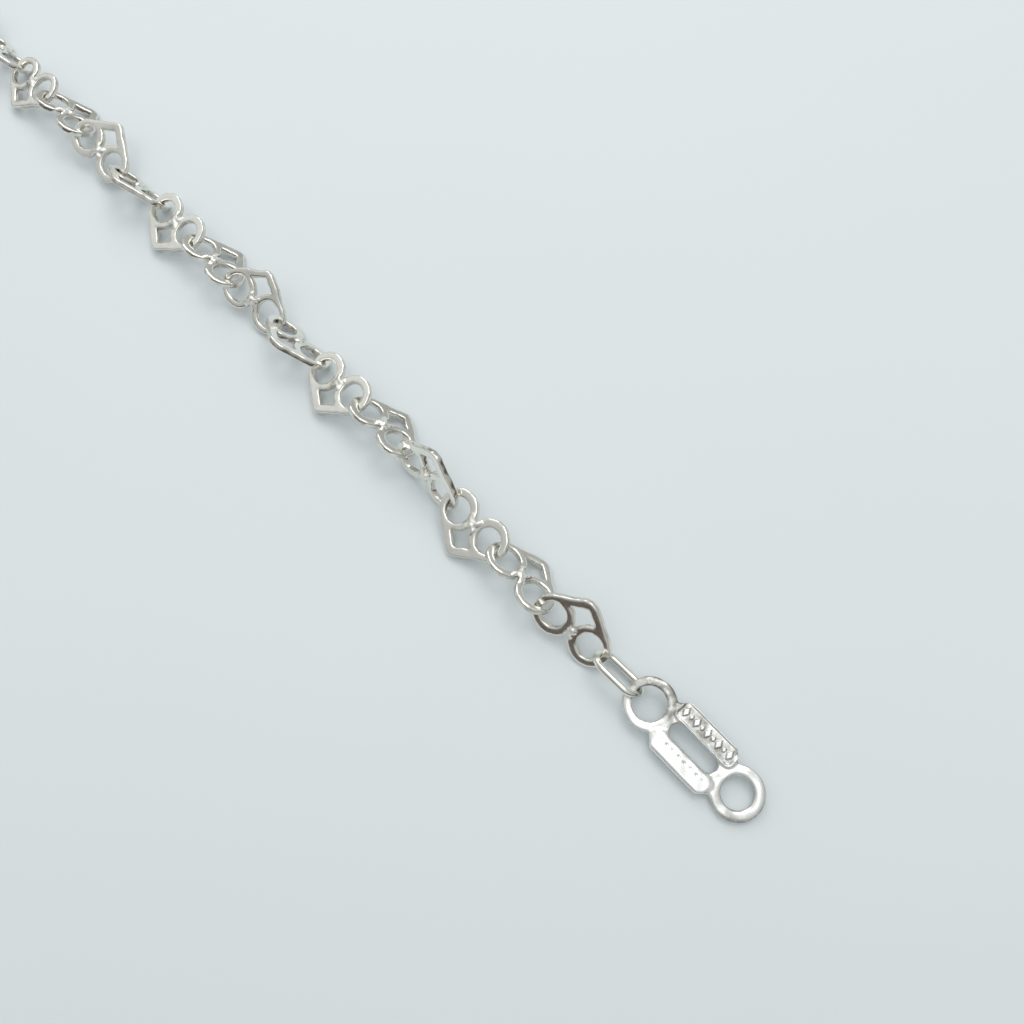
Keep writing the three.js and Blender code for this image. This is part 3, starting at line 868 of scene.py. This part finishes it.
# Brightness follows the height in the sky, times 1 + gain towards the lit side and under the
# ceiling light; the dim side falls off to brown near the horizon.
def makeSurroundings(p):
    world = bpy.data.worlds.new("studioRoom")
    bpy.context.scene.world = world
    world.use_nodes = True
    tree = world.node_tree
    back = tree.nodes["Background"]
    way = addNode(tree, "ShaderNodeTexCoord").outputs["Generated"]
    up = addNode(tree, "ShaderNodeSeparateXYZ", links={"Vector": way}).outputs["Z"]
    ramp = addNode(tree, "ShaderNodeValToRGB", links={"Fac": up})
    stops = ramp.color_ramp.elements
    top = max(value for _, value in p["heights"])
    for k, (at, value) in enumerate(p["heights"]):
        stop = stops[k] if k < 2 else stops.new(at)
        stop.position = at
        stop.color = tuple(value / top * c for c in p["tint"]) + (1,)

    # cosine of the angle between the ray's direction and this one
    def facing(bearing, elevation=0):
        b, e = np.radians([bearing, elevation])
        node = addNode(tree, "ShaderNodeVectorMath", links={0: way}, operation="DOT_PRODUCT")
        node.inputs[1].default_value = (np.cos(b) * np.cos(e), np.sin(b) * np.cos(e), np.sin(e))
        return node.outputs["Value"]

    def eased(source, between, first, last):
        ends = {"From Min": between[0], "From Max": between[1], "To Min": first, "To Max": last}
        return addNode(tree, "ShaderNodeMapRange", ends, {"Value": source},
                       interpolation_type="SMOOTHSTEP").outputs["Result"]

    lit, ceiling, dim = p["lit"], p["ceiling"], p["dim"]
    gain = eased(facing(lit["bearing"], lit["elevation"]), lit["spread"], 1.0, 1.0 + lit["gain"])
    above = facing(ceiling["bearing"], ceiling["elevation"])
    over = eased(above, ceiling["spread"], 0.0, ceiling["gain"])
    gain = mathNode(tree, "ADD", gain, over)
    bright = addNode(tree, "ShaderNodeVectorMath", links={0: ramp.outputs["Color"]},
                     operation="SCALE")
    scale = mathNode(tree, "MULTIPLY", gain, float(top * p["strength"]))
    tree.links.new(scale, bright.inputs["Scale"])
    side = eased(facing(dim["bearing"]), dim["spread"], 0.0, dim["share"])
    share = mathNode(tree, "MULTIPLY", side, eased(up, dim["heights"], 1.0, 0.0))
    room = colorMix(tree, share, bright.outputs["Vector"], dim["color"])
    # looked at straight, the room is a plain pale backdrop; only reflections show its lights
    rays = addNode(tree, "ShaderNodeLightPath")
    seen = colorMix(tree, rays.outputs["Is Camera Ray"], room, p["backdrop"])
    tree.links.new(seen, back.inputs["Color"])
    # dull surfaces get more of the room's light than the metal mirrors, which keeps shadows faint
    fill = mathNode(tree, "MULTIPLY", rays.outputs["Is Diffuse Ray"], p["fill"])
    tree.links.new(mathNode(tree, "ADD", fill, 1.0), back.inputs["Strength"])


makeSurroundings(surroundings)

# millimetres and watts
lamps = {
    "key": {"at": (75, 100, 230), "aim": (8, -5, 0), "size": 150, "watts": 0.130,
            "tint": (1.0, 1.0, 0.98)},
    "window": {"at": (-15, 130, 105), "aim": (5, -5, 0), "size": 90, "watts": 0.042,
               "tint": (1.0, 1.0, 1.0)},
}


# columns of the lamp's turn: level and to the right, up, and away from what it is aimed at
def makeLamp(name, p):
    data = bpy.data.lights.new(name, "AREA")
    data.shape = "DISK"
    data.size = p["size"] * mm
    data.energy = p["watts"]
    data.color = p["tint"]
    lamp = bpy.data.objects.new(name, data)
    bpy.context.scene.collection.objects.link(lamp)
    at, aim = np.array(p["at"]) * mm, np.array(p["aim"]) * mm
    back = (at - aim) / np.linalg.norm(at - aim)
    right = np.cross([0, 0, 1], back)
    right /= np.linalg.norm(right)
    turn = np.eye(4)
    turn[:3] = np.column_stack([right, np.cross(back, right), back, at])
    lamp.matrix_world = Matrix(turn.tolist())


for name, spec in lamps.items():
    makeLamp(name, spec)

# bearing is degrees clockwise from +y, down is the angle under the horizon
view = {"at": (18.98, -14.85, 47.85), "bearing": -1.80, "down": 68.09, "roll": -0.47,
        "lens": 34.87, "sensor": 36, "clip": (0.002, 20)}


# forward, right and up follow from bearing and down; the roll turns the last two about the first
def makeCamera(p):
    data = bpy.data.cameras.new("camera")
    data.lens = p["lens"]
    data.sensor_width = p["sensor"]
    data.clip_start, data.clip_end = p["clip"]
    camera = bpy.data.objects.new("camera", data)
    bpy.context.scene.collection.objects.link(camera)
    a, e, r = np.radians([p["bearing"], p["down"], p["roll"]])
    forward = np.array([np.sin(a) * np.cos(e), np.cos(a) * np.cos(e), -np.sin(e)])
    right = np.array([np.cos(a), -np.sin(a), 0])
    up = np.cross(right, forward)
    turn = np.eye(4)
    turn[:3] = np.column_stack([
        right * np.cos(r) - up * np.sin(r), right * np.sin(r) + up * np.cos(r),
        -forward, np.array(p["at"]) * mm])
    camera.matrix_world = Matrix(turn.tolist())
    bpy.context.scene.camera = camera


makeCamera(view)
bpy.context.scene.view_settings.view_transform = "Standard"
bpy.context.scene.view_settings.look = "None"
print("floor, light and camera set")
